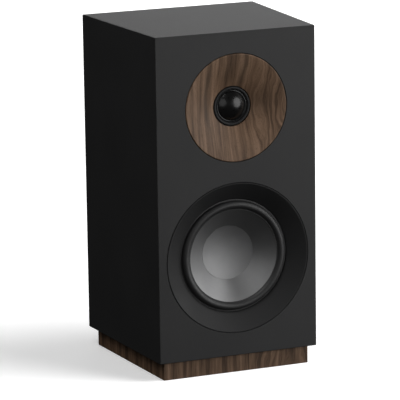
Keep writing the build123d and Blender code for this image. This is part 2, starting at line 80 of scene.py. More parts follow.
# ---------------------------------------------------------------- places and sizes


def box_middle(node):
    """The middle of a node's box; for a driver's magnet it lies on the driver's axis."""
    low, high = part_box(node)
    return (low + high) / 2


BAFFLE_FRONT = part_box("front_baffle")[0].y
PLINTH_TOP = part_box("plinth")[1].z
DISC_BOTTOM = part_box("tweeter_waveguide")[0].z
WOOFER_AXIS = box_middle("woofer_magnet")
TWEETER_AXIS = box_middle("tweeter_magnet")

# A driver's radii are from its axis and its depths from the baffle's face, in millimetres.
TRIM_RADIUS = 66.0
TRIM_WALL = 1.8
TRIM_MOUTH = 49.4
TRIM_BACK = 14.9

ROLL_MIDDLE = 44.95
ROLL_RADIUS = 3.65
ROLL_CENTRE_DEPTH = 10.6
SURROUND_EDGE = 53.0
SURROUND_DEPTH = 11.0
SURROUND_THICKNESS = 0.6
LIP_START = 41.4
LIP_END = 48.4
LIP_RISE = 1.8
ROLL_SOFTNESS = 0.9

CONE_FLANGE = 42.2
CONE_RADIUS = 41.0
CONE_RIM_DEPTH = 9.85
CONE_THICKNESS = 0.7
CONE_NECK = 12.95
CAP_RADIUS = 23.8
CAP_FRONT = 26.4
CAP_RISE = 3.7
CAP_THICKNESS = 0.4

SPIDER_DEPTH = 38.2
SPIDER_SEAT_DEPTH = 38.35
SPIDER_SWING = 1.0
SPIDER_THICKNESS = 0.4
SPIDER_WAVES = 8
LEAD_THICKNESS = 0.8

WAVEGUIDE_RADIUS = 46.8
WAVEGUIDE_MOUTH = 17.7
WAVEGUIDE_BACK = 12.0
TWEETER_RING_BACK = 15.0
DOME_SURROUND_RADIUS = 14.7
DOME_SURROUND_THICKNESS = 0.25
DOME_RADIUS = 12.5
DOME_RISE = 4.6
DOME_FRONT = 6.0
DOME_THICKNESS = 0.3


# ---------------------------------------------------------------- camera

# The place is in metres, the lens and its sensor in millimetres and the angles in degrees.
CAMERA_PLACE = (-1.0208, -2.4066, 0.7139)
CAMERA_AZIMUTH = -22.916
CAMERA_ELEVATION = 12.392
CAMERA_ROLL = -0.799
CAMERA_LENS = 273.4
SENSOR_WIDTH = 36.0
CAMERA_CLIP = (0.1, 60.0)


def direction_to(azimuth, elevation):
    """Unit vector away from the speaker, by degrees; azimuth 0 is in front and 90 at its right."""
    a, e = math.radians(azimuth), math.radians(elevation)
    return Vector((math.sin(a) * math.cos(e), -math.cos(a) * math.cos(e), math.sin(e)))


def add_camera():
    """A long lens from the front left and a little above."""
    back = direction_to(CAMERA_AZIMUTH, CAMERA_ELEVATION)
    roll = math.radians(CAMERA_ROLL)
    right = Vector((0, 0, 1)).cross(back).normalized()
    up = back.cross(right)
    turned_right = right * math.cos(roll) + up * math.sin(roll)
    turned_up = up * math.cos(roll) - right * math.sin(roll)
    data = bpy.data.cameras.new("camera")
    data.sensor_width = SENSOR_WIDTH
    data.lens = CAMERA_LENS
    data.clip_start, data.clip_end = CAMERA_CLIP
    camera = bpy.data.objects.new("camera", data)
    bpy.context.scene.collection.objects.link(camera)
    axes = Matrix((turned_right, turned_up, back)).transposed().to_4x4()
    camera.matrix_world = Matrix.Translation(CAMERA_PLACE) @ axes
    bpy.context.scene.camera = camera


add_camera()


# ---------------------------------------------------------------- shader nodes

# Nearly all of a noise texture's values lie between these two.
NOISE_SPREAD = (0.3, 0.7)


class Shader:
    """One material: a Principled shader and short calls for the nodes that feed it."""

    def __init__(self, name, **values):
        """values are the shader's own inputs, with an underscore for each space in a name."""
        self.material = bpy.data.materials.new(name)
        self.material.use_nodes = True
        self.tree = self.material.node_tree
        self.tree.nodes.clear()
        output = self.tree.nodes.new("ShaderNodeOutputMaterial")
        self.surface = self.tree.nodes.new("ShaderNodeBsdfPrincipled")
        self.tree.links.new(self.surface.outputs[0], output.inputs[0])
        for key, value in values.items():
            self.surface.inputs[key.replace("_", " ")].default_value = value

    def node(self, kind, inputs, **settings):
        """A new node; an input is fed by another node's socket or by a plain value."""
        made = self.tree.nodes.new("ShaderNode" + kind)
        for key, value in settings.items():
            setattr(made, key, value)
        for key, value in inputs.items():
            self.feed(made.inputs[key], value)
        return made

    def feed(self, socket, value):
        if isinstance(value, bpy.types.NodeSocket):
            self.tree.links.new(value, socket)
        else:
            socket.default_value = value

    def place(self, scale=(1, 1, 1), offset=(0, 0, 0)):
        """The point on the object, in metres, scaled and moved."""
        coordinates = self.node("TexCoord", {}).outputs["Object"]
        inputs = {"Vector": coordinates, "Scale": scale, "Location": offset}
        return self.node("Mapping", inputs).outputs[0]

    def noise(self, vector, scale, detail, roughness=0.5, distortion=0.0):
        inputs = {
            "Vector": vector, "Scale": scale, "Detail": detail,
            "Roughness": roughness, "Distortion": distortion,
        }
        return self.node("TexNoise", inputs).outputs["Fac"]

    def cells(self, vector, scale):
        return self.node("TexVoronoi", {"Vector": vector, "Scale": scale}).outputs["Distance"]

    def math(self, operation, a, b=0.0, c=0.0):
        return self.node("Math", {0: a, 1: b, 2: c}, operation=operation).outputs[0]

    def share(self, part, a, b):
        """That part of a and the rest of b."""
        return self.math("MULTIPLY_ADD", a, part, self.math("MULTIPLY", b, 1 - part))

    def span(self, value, low, high, to_low=0.0, to_high=1.0):
        """value between low and high becomes a number between to_low and to_high."""
        inputs = {0: value, 1: low, 2: high, 3: to_low, 4: to_high}
        return self.node("MapRange", inputs).outputs[0]

    def spread(self, value, to_low, to_high):
        """A noise value becomes a number between to_low and to_high."""
        return self.span(value, *NOISE_SPREAD, to_low, to_high)

    def ramp(self, value, *stops):
        made = self.node("ValToRGB", {0: value})
        elements = made.color_ramp.elements
        while len(elements) < len(stops):
            elements.new(0.5)
        for element, (position, colour) in zip(elements, stops):
            element.position = position
            element.color = (*colour, 1.0)
        return made.outputs["Color"]

    def shade(self, value, dark, light, spread=NOISE_SPREAD):
        """A noise value becomes a colour between dark and light."""
        return self.ramp(value, (spread[0], dark), (spread[1], light))

    def mix(self, share, a, b):
        made = self.node("Mix", {0: share}, data_type="RGBA")
        for socket, value in ((made.inputs[6], a), (made.inputs[7], b)):
            self.feed(socket, value if isinstance(value, bpy.types.NodeSocket) else (*value, 1.0))
        return made.outputs[2]

    def split(self, vector):
        return self.node("SeparateXYZ", {0: vector}).outputs

    def join(self, x, y, z):
        return self.node("CombineXYZ", {0: x, 1: y, 2: z}).outputs[0]

    def ribs(self, along, pitch):
        """Even ribs, from -1 to 1; pitch is in millimetres."""
        return self.math("SINE", self.math("MULTIPLY", along, 2 * math.pi / (pitch * MM)))

    def woven(self, pitch):
        """Threads that cross over X and Z."""
        x, _, z = self.split(self.place())
        return self.math("MULTIPLY", self.ribs(x, pitch), self.ribs(z, pitch))

    def colour(self, value):
        self.feed(self.surface.inputs["Base Color"], value)

    def roughness(self, value):
        self.feed(self.surface.inputs["Roughness"], value)

    def bump(self, height, millimetres, strength):
        """Surface relief: a height of 1 stands that many millimetres proud."""
        inputs = {"Height": height, "Distance": millimetres * MM, "Strength": strength}
        normal = self.node("Bump", inputs).outputs[0]
        self.feed(self.surface.inputs["Normal"], normal)


# ---------------------------------------------------------------- materials


def vinyl_board():
    """Matte black foil with a fine pressed grain."""
    s = Shader("black_vinyl")
    fine = s.noise(s.place(scale=(1, 1, 0.35)), scale=1900, detail=3, roughness=0.6)
    broad = s.noise(s.place(), scale=14, detail=2)
    s.colour(s.shade(s.share(0.3, fine, broad), (0.0225, 0.0225, 0.023), (0.0295, 0.0295, 0.03)))
    s.roughness(s.spread(fine, 0.46, 0.6))
    s.bump(fine, 0.035, strength=0.6)
    return s.material


def moulding(name, dark, light, rough, grain=1400, relief=0.03):
    """Moulded plastic or paint with a fine pitted texture."""
    s = Shader(name)
    pits = s.cells(s.place(), grain)
    broad = s.noise(s.place(), scale=35, detail=3)
    s.colour(s.shade(broad, dark, light))
    s.roughness(s.span(s.math("MULTIPLY_ADD", pits, 0.5, broad), 0.4, 1.0, *rough))
    s.bump(pits, relief, strength=0.5)
    return s.material


def rubber(name, dark, light, rough):
    """Soft rubber or wire sleeving with a trace of dust."""
    s = Shader(name, Specular_IOR_Level=0.7)
    dust = s.noise(s.place(), scale=600, detail=4, roughness=0.6)
    broad = s.noise(s.place(), scale=40, detail=2)
    s.colour(s.shade(broad, dark, light))
    s.roughness(s.spread(dust, *rough))
    s.bump(dust, 0.02, strength=0.5)
    return s.material


def metal(name, dark, light, rough, stretch=(1, 1, 1)):
    """Metal with fine tool marks."""
    s = Shader(name, Metallic=1.0)
    marks = s.noise(s.place(stretch), scale=700, detail=4, roughness=0.6)
    broad = s.noise(s.place(), scale=60, detail=3)
    s.colour(s.shade(broad, dark, light))
    s.roughness(s.spread(marks, *rough))
    s.bump(marks, 0.01, strength=0.5)
    return s.material


# The walnut disc's dark streaks: middle and half width across, both ends above the dome's centre,
# all in metres, and strength.
WALNUT_STREAKS = (
    (-0.0225, 0.0030, -0.022, 0.042, 0.65),
    (0.0075, 0.0022, 0.006, 0.060, 0.6),
    (-0.003, 0.0060, 0.012, 0.060, 0.35),
    (0.0270, 0.0080, -0.012, 0.022, 0.32),
)
STREAK_FADE = 0.014


def walnut_streaks(s, x, z):
    """How strongly the dark streaks show; each is soft at its sides and fades out at its ends."""
    shown = 0.0
    for middle, half_width, low, high, strength in WALNUT_STREAKS:
        low += TWEETER_AXIS.z
        high += TWEETER_AXIS.z
        across = s.math("DIVIDE", s.math("SUBTRACT", x, middle), half_width)
        hump = s.math("EXPONENT", s.math("MULTIPLY", s.math("MULTIPLY", across, across), -1.0))
        rise = s.span(z, low, low + STREAK_FADE)
        fall = s.span(z, high, high - STREAK_FADE)
        ends = s.math("MULTIPLY", rise, fall)
        streak = s.math("MULTIPLY", s.math("MULTIPLY", hump, strength), ends)
        shown = s.math("ADD", shown, streak)
    return shown


def walnut_veneer():
    """Walnut with its grain upright: straight stripes that wander into a broad figure on the right."""
    s = Shader("walnut_veneer", Specular_IOR_Level=0.3)
    x, y, z = s.split(s.place())
    figure = s.span(x, 0.004, 0.034, 0.003, 0.0375)
    slow = s.noise(s.place((1, 1, 0.42), (0.013, 0, 0.004)), scale=38, detail=3)
    wander = s.math("SUBTRACT", slow, 0.5)
    sway = s.math("MULTIPLY", wander, figure)
    round_corner = s.span(z, PLINTH_TOP, DISC_BOTTOM, 0.8, 0.0)
    across = s.math("ADD", s.math("MULTIPLY_ADD", y, round_corner, x), sway)
    stripe_at = s.join(across, 0.0, s.math("MULTIPLY", z, 0.05))
    wide = s.noise(stripe_at, scale=190, detail=3, roughness=0.55)
    narrow = s.noise(stripe_at, scale=520, detail=4, roughness=0.65)
    paler_disc = s.span(z, PLINTH_TOP, DISC_BOTTOM, -0.004, 0.022)
    tone = s.ramp(
        s.math("ADD", s.share(0.62, wide, narrow), paler_disc),
        (0.33, (0.042, 0.024, 0.014)),
        (0.44, (0.112, 0.066, 0.040)),
        (0.54, (0.222, 0.135, 0.082)),
        (0.67, (0.360, 0.228, 0.148)),
    )
    pore_at = s.join(across, y, s.math("MULTIPLY", z, 0.03))
    pores = s.noise(pore_at, scale=2600, detail=2, roughness=0.7)
    tone = s.mix(s.span(pores, 0.56, 0.68, 0.0, 0.4), tone, (0.024, 0.014, 0.008))
    bent = s.math("ADD", x, s.math("MULTIPLY", wander, 0.02))
    s.colour(s.mix(walnut_streaks(s, bent, z), tone, (0.045, 0.030, 0.020)))
    s.roughness(s.span(pores, 0.4, 0.7, 0.46, 0.64))
    s.bump(s.math("SUBTRACT", 1.0, pores), 0.04, strength=0.5)
    return s.material


def aluminised_polymer():
    """Grey metallic film with faint rings from its forming, darker and duller on the dust cap."""
    s = Shader("aluminised_polymer", Metallic=0.95)
    x, _, z = s.split(s.place(offset=(0, 0, -WOOFER_AXIS.z)))
    radius = s.math("SQRT", s.math("ADD", s.math("MULTIPLY", x, x), s.math("MULTIPLY", z, z)))
    rings = s.noise(s.join(radius, 0.0, 0.0), scale=900, detail=3, roughness=0.6)
    cloud = s.noise(s.place(), scale=55, detail=3)
    tone = s.shade(s.share(0.25, rings, cloud), (0.33, 0.33, 0.333), (0.39, 0.39, 0.393))
    on_cap = s.span(radius, (CAP_RADIUS - 0.2) * MM, (CAP_RADIUS + 0.2) * MM, 1.0, 0.0)
    s.colour(s.mix(on_cap, tone, s.mix(0.36, tone, (0.14, 0.14, 0.142))))
    s.roughness(s.math("MULTIPLY_ADD", on_cap, 0.06, s.spread(rings, 0.46, 0.52)))
    s.bump(rings, 0.015, strength=0.35)
    return s.material


def coated_silk():
    """Black silk under a glossy coat, with its weave just showing."""
    s = Shader("coated_silk", Coat_Weight=0.6, Coat_Roughness=0.12)
    cloud = s.noise(s.place(), scale=180, detail=2)
    s.colour(s.shade(cloud, (0.009, 0.009, 0.0092), (0.015, 0.015, 0.0152)))
    s.roughness(s.spread(cloud, 0.26, 0.34))
    s.bump(s.woven(pitch=0.3927), 0.008, strength=0.4)
    return s.material


def spider_cloth():
    """Open cotton weave, stiff with resin."""
    s = Shader("spider_cloth")
    threads = s.woven(pitch=0.6)
    fuzz = s.noise(s.place(), scale=900, detail=3, roughness=0.7)
    s.colour(s.mix(s.span(threads, -1.0, 1.0), (0.2, 0.13, 0.045), (0.5, 0.36, 0.16)))
    s.roughness(s.span(fuzz, 0.2, 0.8, 0.75, 0.85))
    s.bump(s.math("ADD", threads, fuzz), 0.12, strength=0.8)
    return s.material


def wadding_fibre():
    """Loose bonded fibres."""
    s = Shader("wadding_fibre", Roughness=0.95)
    strands = s.noise(s.place((1, 0.3, 1)), scale=700, detail=5, roughness=0.8, distortion=1.5)
    s.colour(s.shade(strands, (0.42, 0.42, 0.4), (0.8, 0.8, 0.78)))
    s.bump(strands, 0.6, strength=0.9)
    return s.material


def board(name, dark, light, grain, rough, relief=0.03):
    """A dull material with a speckle: fibreboard, ferrite, cement, card."""
    s = Shader(name)
    speckle = s.noise(s.place(), scale=grain, detail=5, roughness=0.7)
    broad = s.noise(s.place(), scale=45, detail=2)
    s.colour(s.shade(s.share(0.6, speckle, broad), dark, light, spread=(0.35, 0.65)))
    s.roughness(s.spread(speckle, rough - 0.12, rough))
    s.bump(speckle, relief, strength=0.7)
    return s.material


def copper_wire():
    """Enamelled wire wound round and round; the turns show as fine ribs, with painted shade in the grooves
    between turns and a painted highlight on their crests.
    """
    s = Shader("copper_wire", Metallic=0.9)
    _, y, z = s.split(s.place())
    turns = s.ribs(s.math("ADD", y, z), pitch=0.55)
    tint = s.noise(s.place(), scale=150, detail=2)
    # The colour follows the ribs: painted shade in the grooves between turns, painted highlight on the
    # crests.
    s.colour(s.mix(s.math("MULTIPLY_ADD", turns, 0.3, tint), (0.32, 0.1, 0.035), (0.72, 0.3, 0.13)))
    s.roughness(s.spread(tint, 0.25, 0.38))
    s.bump(turns, 0.15, strength=0.8)
    return s.material


def plastics():
    """The plastics, paint and rubber, by slot."""
    knob = {"rough": (0.26, 0.36), "grain": 900, "relief": 0.02}
    return {
        "satin_black_plastic": moulding(
            "satin_black_plastic", (0.014, 0.014, 0.0145), (0.018, 0.018, 0.0185), (0.58, 0.7)),
        "moulded_black_plastic": moulding(
            "moulded_black_plastic", (0.016, 0.016, 0.016), (0.022, 0.022, 0.022), (0.5, 0.65),
            grain=1000, relief=0.06),
        "black_painted_steel": moulding(
            "black_painted_steel", (0.012, 0.012, 0.012), (0.02, 0.02, 0.02), (0.35, 0.5),
            grain=700, relief=0.05),
        "red_plastic": moulding(
            "red_plastic", (0.32, 0.01, 0.012), (0.45, 0.018, 0.02), **knob),
        "black_knob_plastic": moulding(
            "black_knob_plastic", (0.012, 0.012, 0.012), (0.02, 0.02, 0.02), **knob),
        "capacitor_film": moulding(
            "capacitor_film", (0.5, 0.36, 0.05), (0.62, 0.46, 0.08), (0.2, 0.32),
            grain=300, relief=0.02),
        "surround_rubber": rubber(
            "surround_rubber", (0.018, 0.018, 0.0185), (0.024, 0.024, 0.0245), (0.44, 0.58)),
        "wire_insulation": rubber(
            "wire_insulation", (0.2, 0.01, 0.01), (0.32, 0.02, 0.02), (0.35, 0.5)),
    }


def metals():
    """The metals, by slot."""
    return {
        "zinc_steel": metal("zinc_steel", (0.42, 0.42, 0.44), (0.6, 0.6, 0.6), (0.25, 0.42)),
        "black_steel": metal("black_steel", (0.03, 0.03, 0.032), (0.06, 0.06, 0.062), (0.3, 0.45)),
        "plated_magnet": metal("plated_magnet", (0.55, 0.54, 0.5), (0.7, 0.69, 0.66), (0.12, 0.22)),
        "gilt_brass": metal(
            "gilt_brass", (0.75, 0.5, 0.17), (0.9, 0.66, 0.28), (0.14, 0.26), stretch=(1, 0.2, 1)),
        "copper_wire": copper_wire(),
    }


def boards():
    """The pressed, fired and laminated materials, by slot."""
    return {
        "raw_board": board("bare_fibreboard", (0.22, 0.14, 0.08), (0.34, 0.23, 0.14), 900, 0.9),
        "ferrite": board("ferrite", (0.03, 0.03, 0.033), (0.06, 0.06, 0.064), 1200, 0.6),
        "former_paper": board("former_paper", (0.25, 0.15, 0.07), (0.38, 0.25, 0.13), 700, 0.8),
        "gasket_foam": board(
            "gasket_foam", (0.01, 0.01, 0.01), (0.03, 0.03, 0.03), 1600, 0.95, relief=0.08),
        "circuit_board": board(
            "circuit_board", (0.012, 0.07, 0.03), (0.03, 0.13, 0.06), 400, 0.4, relief=0.01),
        "resistor_cement": board("resistor_cement", (0.55, 0.54, 0.5), (0.78, 0.77, 0.73), 800, 0.9),
    }


# One material for each slot of the record.
materials = {
    "vinyl_board": vinyl_board(),
    "walnut_veneer": walnut_veneer(),
    "aluminised_polymer": aluminised_polymer(),
    "coated_silk": coated_silk(),
    "spider_cloth": spider_cloth(),
    "wadding_fibre": wadding_fibre(),
    **plastics(),
    **metals(),
    **boards(),
}
slot_of = {part["node"]: part["material_slot"] for part in frame["record"]["subparts"]}

for node_name, node_object in nodes.items():
    node_object.data.materials.clear()
    node_object.data.materials.append(materials[slot_of[node_name]])


# ---------------------------------------------------------------- mesh helpers


def steps(first, last, count):
    """Evenly spaced numbers, both ends among them."""
    return [first + (last - first) * i / count for i in range(count + 1)]


def clamped(value):
    """The value held between 0 and 1."""
    return min(1.0, max(0.0, value))


def rounded(corners, arc_steps=6):
    """A closed outline with its corners rounded; a corner is (radius, depth, rounding)."""
    outline = []
    points = [Vector(corner[:2]) for corner in corners]
    following = points[1:] + points[:1]
    for before, here, after, corner in zip(points[-1:] + points, points, following, corners):
        rounding = corner[2]
        if rounding == 0:
            outline.append(tuple(here))
            continue
        back = (before - here).normalized()
        ahead = (after - here).normalized()
        half = back.angle(ahead) / 2
        start = here + back * rounding / math.tan(half)
        end = here + ahead * rounding / math.tan(half)
        centre = here + (back + ahead).normalized() * rounding / math.sin(half)
        sweep = math.pi - 2 * half
        for share in steps(0, 1, arc_steps):
            first = math.sin((1 - share) * sweep) / math.sin(sweep)
            last = math.sin(share * sweep) / math.sin(sweep)
            outline.append(tuple(centre + (start - centre) * first + (end - centre) * last))
    return outline


def bow(start, middle, end, count):
    """Points on the arc through three points, both ends among them."""
    (ax, ay), (bx, by), (cx, cy) = start, middle, end
    d = 2 * (ax * (by - cy) + bx * (cy - ay) + cx * (ay - by))
    a2, b2, c2 = ax * ax + ay * ay, bx * bx + by * by, cx * cx + cy * cy
    ux = (a2 * (by - cy) + b2 * (cy - ay) + c2 * (ay - by)) / d
    uy = (a2 * (cx - bx) + b2 * (ax - cx) + c2 * (bx - ax)) / d
    radius = math.hypot(ax - ux, ay - uy)
    first, via, last = (math.atan2(y - uy, x - ux) for x, y in (start, middle, end))
    turn = (last - first) % (2 * math.pi)
    if (via - first) % (2 * math.pi) > turn:
        turn -= 2 * math.pi
    angles = steps(first, first + turn, count)
    return [(ux + radius * math.cos(a), uy + radius * math.sin(a)) for a in angles]


def sheet_outline(front, thickness):
    """A closed outline: the front's points, and the same points set back by the thickness."""
    back = [(radius, depth + thickness) for radius, depth in reversed(front)]
    return front + back


def finish_mesh(name, vertices, faces, sharp_degrees=50):
    mesh = bpy.data.meshes.new(name)
    mesh.from_pydata(vertices, [], faces)
    mesh.validate()
    mesh.update()
    mesh.shade_smooth()
    mesh.set_sharp_from_angle(angle=math.radians(sharp_degrees))
    made = bpy.data.objects.new(name, mesh)
    bpy.context.scene.collection.objects.link(made)
    return made


def point_outwards(made):
    """Turns the faces round if the closed mesh is inside out."""
    volume = 0.0
    mesh = made.data
    for face in mesh.polygons:
        corners = [mesh.vertices[v].co for v in face.vertices]
        for b, c in zip(corners[1:], corners[2:]):
            volume += corners[0].dot(b.cross(c))
    if volume < 0:
        mesh.flip_normals()


def lathe(name, outline, axis, segments=224, sharp_degrees=50):
    """Closed solid turned about a driver's axis; a point of the outline is (radius, depth)."""
    rings = []
    vertices = []
    for radius, depth in outline:
        y = BAFFLE_FRONT + depth * MM
        if radius == 0:
            rings.append([len(vertices)])
            vertices.append((axis.x, y, axis.z))
            continue
        rings.append(list(range(len(vertices), len(vertices) + segments)))
        for i in range(segments):
            a = 2 * math.pi * i / segments
            x = axis.x + radius * MM * math.cos(a)
            vertices.append((x, y, axis.z + radius * MM * math.sin(a)))
    faces = []
    for ring, following in zip(rings, rings[1:] + rings[:1]):
        if len(ring) == 1 and len(following) == 1:
            continue
        for i in range(segments):
            j = (i + 1) % segments
            if len(ring) == 1:
                faces.append((ring[0], following[j], following[i]))
            elif len(following) == 1:
                faces.append((ring[i], ring[j], following[0]))
            else:
                faces.append((ring[i], ring[j], following[j], following[i]))
    made = finish_mesh(name, vertices, faces, sharp_degrees)
    point_outwards(made)
    return made


def dress(made, slot, node):
    """made takes the place of a CAD node and wears the slot's material."""
    made.data.materials.append(materials[slot])
    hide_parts(node)


def radial_blend(made, axis, moving, outer, inner):
    """made bends from the cabinet at the outer radius to the moving body at the inner one."""
    start = axis + Vector((outer * MM, 0, 0))
    end = axis + Vector((inner * MM, 0, 0))
    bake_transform(made, "cabinet", moving, start=start, end=end)
    weights = made.data.attributes["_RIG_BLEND"].data
    for vertex, weight in zip(made.data.vertices, weights):
        radius = math.hypot(vertex.co.x - axis.x, vertex.co.z - axis.z) / MM
        share = clamped((outer - radius) / (outer - inner))
        weight.value = share * share * (3 - 2 * share)


# ---------------------------------------------------------------- woofer


def woofer_trim():
    """The funnel from the baffle's face down to the surround."""
    inside = TRIM_RADIUS - TRIM_WALL
    funnel = rounded([
        (TRIM_RADIUS, 0.0, 0.35), (65.1, 0.0, 2.0), (50.3, 9.4, 1.1), (TRIM_MOUTH, 10.9, 0.3),
        (51.6, 10.9, 0.3), (inside, 2.8, 0.8), (inside, TRIM_BACK, 0.3), (TRIM_RADIUS, TRIM_BACK, 0.3),
    ])
    trim = lathe("woofer_trim", funnel, WOOFER_AXIS)
    dress(trim, "satin_black_plastic", "woofer_trim_ring")
    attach(trim, "cabinet")


def roll_depth(radius):
    """Depth of the rubber's front: a round bead that runs out softly into the lip on each side."""
    lip = SURROUND_DEPTH - LIP_RISE * (1 - clamped((radius - LIP_START) / (LIP_END - LIP_START)))
    across = radius - ROLL_MIDDLE
    bead = ROLL_CENTRE_DEPTH - math.sqrt(max(0.0, ROLL_RADIUS**2 - across**2))
    share = clamped(0.5 + 0.5 * (lip - bead) / ROLL_SOFTNESS)
    return lip + (bead - lip) * share - ROLL_SOFTNESS * share * (1 - share)


def woofer_surround():
    """The rubber roll between the trim's mouth and the cone."""
    front = [(r, roll_depth(r)) for r in steps(CONE_RADIUS - 0.1, TRIM_MOUTH, 68)]
    front.append((SURROUND_EDGE, SURROUND_DEPTH))
    surround = lathe("surround_roll", sheet_outline(front, SURROUND_THICKNESS), WOOFER_AXIS)
    dress(surround, "surround_rubber", "woofer_surround")
    radial_blend(surround, WOOFER_AXIS, "woofer_diaphragm", outer=49.0, inner=41.6)


def woofer_cone():
    """The cone, nearly straight from its rim to the coil former."""
    bowl = rounded([
        (CONE_FLANGE, CONE_RIM_DEPTH, 0), (CONE_RADIUS, CONE_RIM_DEPTH, 0),
        (23.9, 22.8, 30), (CONE_NECK, 32.8, 0),
        (CONE_NECK, 33.5, 0), (23.7, 23.6, 30),
        (40.7, CONE_RIM_DEPTH + CONE_THICKNESS, 0), (CONE_FLANGE, CONE_RIM_DEPTH + CONE_THICKNESS, 0),
    ], arc_steps=24)
    cone = lathe("cone_bowl", bowl, WOOFER_AXIS, sharp_degrees=35)
    dress(cone, "aluminised_polymer", "woofer_cone")
    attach(cone, "woofer_diaphragm")


def dust_cap():
    """The shallow dome over the cone's middle."""
    front = [(r, CAP_FRONT - CAP_RISE * (r / CAP_RADIUS) ** 2) for r in steps(0, CAP_RADIUS, 24)]
    cap = lathe("dust_cap_dish", sheet_outline(front, CAP_THICKNESS), WOOFER_AXIS, sharp_degrees=60)
    dress(cap, "aluminised_polymer", "woofer_dust_cap")
    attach(cap, "woofer_diaphragm")


def spider():
    """The corrugated cloth that centres the coil."""
    neck, inner, outer, seat, rim = 13.0, 14.6, 32.4, 33.2, 35.8
    front = [(neck, SPIDER_DEPTH)]
    for r in steps(inner, outer, 12 * SPIDER_WAVES):
        phase = math.pi * SPIDER_WAVES * (r - inner) / (outer - inner)
        front.append((r, SPIDER_DEPTH - SPIDER_SWING * math.cos(phase)))
    front += [(seat, SPIDER_SEAT_DEPTH), (rim, SPIDER_SEAT_DEPTH)]
    outline = sheet_outline(front, SPIDER_THICKNESS)
    cloth = lathe("spider_cloth_disc", outline, WOOFER_AXIS, segments=128)
    dress(cloth, "spider_cloth", "woofer_spider")
    radial_blend(cloth, WOOFER_AXIS, "woofer_diaphragm", outer=seat, inner=14.0)


# A lead's route in millimetres: to the side of the axis, behind the baffle's face, and above or
# below the axis.
LEAD_ROUTE = (
    (-43.0, 41.4, 5.0), (-43.0, 34.0, 5.0), (-38.5, 28.5, 5.0), (-33.0, 28.0, 4.0), (-28.5, 23.0, 3.5),
)


def lead_mesh(name, side):
    """A thin round tube on a smooth line through the route."""
    data = bpy.data.curves.new(name + "_route", "CURVE")
    data.dimensions = "3D"
    data.bevel_depth = LEAD_THICKNESS / 2 * MM
    data.bevel_resolution = 3
    data.use_fill_caps = True
    spline = data.splines.new("NURBS")
    spline.points.add(len(LEAD_ROUTE) - 1)
    for point, (x, depth, height) in zip(spline.points, LEAD_ROUTE):
        place = (x * MM, BAFFLE_FRONT + depth * MM, WOOFER_AXIS.z + height * side * MM)
        point.co = (*place, 1.0)
    spline.order_u = 3
    spline.use_endpoint_u = True
    spline.resolution_u = 12
    curve = bpy.data.objects.new(name + "_route", data)
    mesh = bpy.data.meshes.new_from_object(curve)
    bpy.data.objects.remove(curve)
    mesh.shade_smooth()
    mesh.materials.clear()
    return mesh


def tinsel_leads():
    """The two flexible leads from the solder tabs to the back of the cone."""
    for side, name in ((-1, "tinsel_lead_lower"), (1, "tinsel_lead_upper")):
        lead = bpy.data.objects.new(name, lead_mesh(name, side))
        bpy.context.scene.collection.objects.link(lead)
        dress(lead, "copper_wire", "woofer_tinsel_leads")
        radial_blend(lead, WOOFER_AXIS, "woofer_diaphragm", outer=42.0, inner=30.0)


woofer_trim()
woofer_surround()
woofer_cone()
dust_cap()
spider()
tinsel_leads()


# ---------------------------------------------------------------- tweeter


def walnut_waveguide():
    """The veneered disc that flares out from the dome."""
    disc = bow((46.3, 0.0), (31.5, 3.9), (WAVEGUIDE_MOUTH, 9.3), 60)
    disc += [
        (WAVEGUIDE_MOUTH, WAVEGUIDE_BACK), (WAVEGUIDE_RADIUS, WAVEGUIDE_BACK),
        (WAVEGUIDE_RADIUS, 0.5), (46.65, 0.15),
    ]
    waveguide = lathe("walnut_waveguide", disc, TWEETER_AXIS, segments=256)
    dress(waveguide, "walnut_veneer", "tweeter_waveguide")
    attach(waveguide, "cabinet")


def tweeter_ring():
    """The black faceplate that shows as a narrow collar about the dome."""
    collar, mouth, flange = 16.9, 13.4, 34.0
    outline = rounded([
        (collar, 9.2, 1.0), (DOME_SURROUND_RADIUS, 9.2, 1.0), (DOME_SURROUND_RADIUS, 11.0, 0.1),
        (mouth, 11.0, 0.1), (mouth, TWEETER_RING_BACK, 0.2), (flange, TWEETER_RING_BACK, 0.4),
        (flange, WAVEGUIDE_BACK, 0.4), (collar, WAVEGUIDE_BACK, 0.1),
    ])
    ring = lathe("tweeter_ring", outline, TWEETER_AXIS)
    dress(ring, "satin_black_plastic", "tweeter_faceplate")
    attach(ring, "cabinet")


def dome_surround():
    """The soft half roll that holds the dome."""
    outer, inner = 13.9, 12.6
    roll = bow((outer, 10.75), (13.25, 10.4), (inner, 10.7), 14)
    outline = sheet_outline([(DOME_SURROUND_RADIUS, 10.75), *roll], DOME_SURROUND_THICKNESS)
    surround = lathe("dome_surround", outline, TWEETER_AXIS, segments=160)
    dress(surround, "coated_silk", "tweeter_surround")
    radial_blend(surround, TWEETER_AXIS, "tweeter_diaphragm", outer=outer, inner=inner)
    return surround


def dome_cap():
    """The dome, a cap of a sphere."""
    sphere = (DOME_RADIUS**2 + DOME_RISE**2) / (2 * DOME_RISE)
    centre = DOME_FRONT + sphere
    front = [(r, centre - math.sqrt(sphere**2 - r**2)) for r in steps(0, DOME_RADIUS, 36)]
    outline = sheet_outline(front, DOME_THICKNESS)
    dome = lathe("dome_cap", outline, TWEETER_AXIS, segments=160, sharp_degrees=60)
    dress(dome, "coated_silk", "tweeter_dome")
    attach(dome, "tweeter_diaphragm")
    return dome


walnut_waveguide()
tweeter_ring()
dome_pieces = [dome_surround(), dome_cap()]


# ---------------------------------------------------------------- wadding

# The pad's cells, inset and lumps are in millimetres; its tuck is a share of its size.
PAD_CELL = 4.0
PAD_TUCK = 0.10
PAD_SQUARENESS = 6
PAD_INSET = 0.5
PAD_LUMP = 0.7
PAD_LUMP_SCALE = 60


